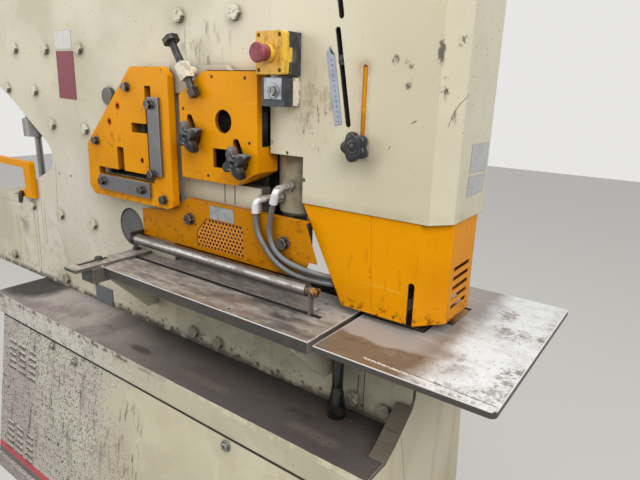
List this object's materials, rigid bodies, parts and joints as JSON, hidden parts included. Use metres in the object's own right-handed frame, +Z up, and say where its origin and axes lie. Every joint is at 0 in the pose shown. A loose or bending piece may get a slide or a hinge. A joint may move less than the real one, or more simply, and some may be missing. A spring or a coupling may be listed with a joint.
{
  "type": "punching and shearing machine",
  "caption": "Floor-standing hydraulic ironworker with twin side plates, a punching head, guarded section, bar and flat shears on a rocking beam, work tables and a louvred base.",
  "frame": {"origin": "on the floor, under the middle plane between the side plates, at the middle of the base's centre cross member", "axes": "+X along the machine to the punching head, +Y from the operator to the rear, +Z up"},
  "size_m": [2.126, 0.6447, 1.8],
  "materials": {
    "cream_paint": "satin cream enamel, worn and dusty",
    "guard_yellow": "satin orange-yellow enamel, scuffed",
    "table_steel": "ground plate with a brown film",
    "bare_steel": "machined steel",
    "dark_steel": "blackened",
    "grey_paint": "mauve-grey paint",
    "black_plastic": "matt black, dusty",
    "yellow_plastic": "yellow moulded",
    "red_plastic": "faded red moulded",
    "hose_rubber": "grey-black hose cover"
  },
  "bodies": {
    "frame": {"front_plate": "cream_paint", "rear_plate": "cream_paint", "tie_bolts": "cream_paint", "pivot_pin": "bare_steel", "base_frame": "cream_paint", "ledge_trays": "cream_paint", "front_panel": "cream_paint", "rear_panel": "cream_paint", "right_cheek": "cream_paint", "shear_table": "table_steel", "punch_table": "table_steel", "head_cover": "cream_paint", "top_cover": "cream_paint", "estop_base": "black_plastic", "estop_cover": "yellow_plastic", "key_box": "black_plastic", "section_guard": "guard_yellow", "guide_strips": "bare_steel", "hex_bolts": "dark_steel", "bar_guard": "guard_yellow", "flat_guard": "guard_yellow", "guard_screen": "guard_yellow", "shear_bracket": "grey_paint", "cover_disc": "bare_steel", "tube_rod": "bare_steel", "fixed_blades": "bare_steel", "punch_cylinder": "cream_paint", "die_bolster": "cream_paint", "die": "bare_steel", "stripper": "bare_steel", "left_cylinder": "cream_paint", "left_die": "cream_paint", "left_fork": "guard_yellow", "shear_cylinder": "cream_paint", "hold_down_cylinder": "cream_paint", "hose_1": "hose_rubber", "hose_2": "hose_rubber", "chute": "black_plastic", "oil_tank": "cream_paint", "pump_motor": "grey_paint"},
    "punch_ram": {"punch_ram": "bare_steel", "punch": "bare_steel"},
    "left_ram": {"left_ram": "bare_steel"},
    "beam": {"rocking_beam": "cream_paint", "moving_blades": "bare_steel"},
    "shear_rod": {"shear_rod": "bare_steel"},
    "tool_guard": {"tool_guard": "guard_yellow"},
    "guard_knob": {"guard_knob": "black_plastic"},
    "bar_rest_1": {"bar_rest_1": "bare_steel"},
    "bar_knob_1": {"bar_knob_1": "black_plastic"},
    "bar_rest_2": {"bar_rest_2": "bare_steel"},
    "bar_knob_2": {"bar_knob_2": "black_plastic"},
    "estop_button": {"estop_button": "red_plastic"},
    "key": {"key": "bare_steel"},
    "side_stop": {"side_stop": "table_steel"},
    "guard_tube": {"guard_tube": "bare_steel"},
    "hold_down_rod": {"hold_down_rod": "bare_steel"},
    "clamp_foot": {"clamp_foot": "bare_steel"},
    "clamp_screw": {"clamp_screw": "bare_steel"},
    "stroke_pointer": {"stroke_pointer": "dark_steel"}
  },
  "joints": [
    {"name": "punch_slide", "type": "slide", "parent": "frame", "child": "punch_ram", "axis": [0, 0, -1], "range_m": [0, 0.06]},
    {"name": "left_ram_slide", "type": "slide", "parent": "frame", "child": "left_ram", "axis": [0, 0, -1], "range_m": [0, 0.06]},
    {"name": "beam_pivot", "type": "hinge", "parent": "frame", "child": "beam", "pos_m": [-0.307, 0, 1.319], "axis": [0, 1, 0], "range_deg": [0, 5]},
    {"name": "shear_rod_slide", "type": "slide", "parent": "frame", "child": "shear_rod", "axis": [0, 0, -1], "range_m": [0, 0.053]},
    {"name": "guard_slide", "type": "slide", "parent": "frame", "child": "tool_guard", "axis": [0, 0, 1], "range_m": [0, 0.15]},
    {"name": "guard_knob_turn", "type": "hinge", "parent": "tool_guard", "child": "guard_knob", "pos_m": [0.543, -0.14, 1.248], "axis": [0, -1, 0], "range_deg": [-180, 180]},
    {"name": "bar_rest_1_slide", "type": "slide", "parent": "frame", "child": "bar_rest_1", "axis": [0.4147, 0, -0.91], "range_m": [-0.045, 0.01]},
    {"name": "bar_knob_1_turn", "type": "hinge", "parent": "bar_rest_1", "child": "bar_knob_1", "pos_m": [0.0879, -0.17, 1.23595], "axis": [0, -1, 0], "range_deg": [-180, 180]},
    {"name": "bar_rest_2_slide", "type": "slide", "parent": "frame", "child": "bar_rest_2", "axis": [0.4147, 0, -0.91], "range_m": [-0.045, 0.01]},
    {"name": "bar_knob_2_turn", "type": "hinge", "parent": "bar_rest_2", "child": "bar_knob_2", "pos_m": [0.24487, -0.17, 1.1886], "axis": [0, -1, 0], "range_deg": [-180, 180]},
    {"name": "estop_press", "type": "slide", "parent": "frame", "child": "estop_button", "axis": [0, 1, 0], "range_m": [0, 0.004], "stiffness_N_per_m": 800},
    {"name": "key_turn", "type": "hinge", "parent": "frame", "child": "key", "pos_m": [0.359, -0.18, 1.35], "axis": [0, 1, 0], "range_deg": [0, 90]},
    {"name": "side_stop_slide", "type": "slide", "parent": "frame", "child": "side_stop", "axis": [0, -1, 0], "range_m": [0, 0.02]},
    {"name": "guard_tube_turn", "type": "hinge", "parent": "frame", "child": "guard_tube", "pos_m": [0.152, -0.172, 0.932], "axis": [1, 0, 0], "continuous": true},
    {"name": "hold_down_slide", "type": "slide", "parent": "frame", "child": "hold_down_rod", "axis": [0, 0, -1], "range_m": [0, 0.07]},
    {"name": "clamp_foot_slide", "type": "slide", "parent": "frame", "child": "clamp_foot", "axis": [0.5233, 0, -0.8521], "range_m": [0, 0.0075]},
    {"name": "clamp_screw_turn", "type": "hinge", "parent": "clamp_foot", "child": "clamp_screw", "pos_m": [0.033, -0.172, 1.46], "axis": [0.5233, 0, -0.8521], "range_deg": [0, 1080]},
    {"name": "pointer_slide", "type": "slide", "parent": "frame", "child": "stroke_pointer", "axis": [0.176, 0, -0.9844], "range_m": [-0.04, 0.115]}
  ],
  "couplings": [
    {"joint": "shear_rod_slide", "follows": "beam_pivot", "m_per_rad": 0.607},
    {"joint": "clamp_screw_turn", "follows": "clamp_foot_slide", "rad_per_m": 2513.2}
  ]
}
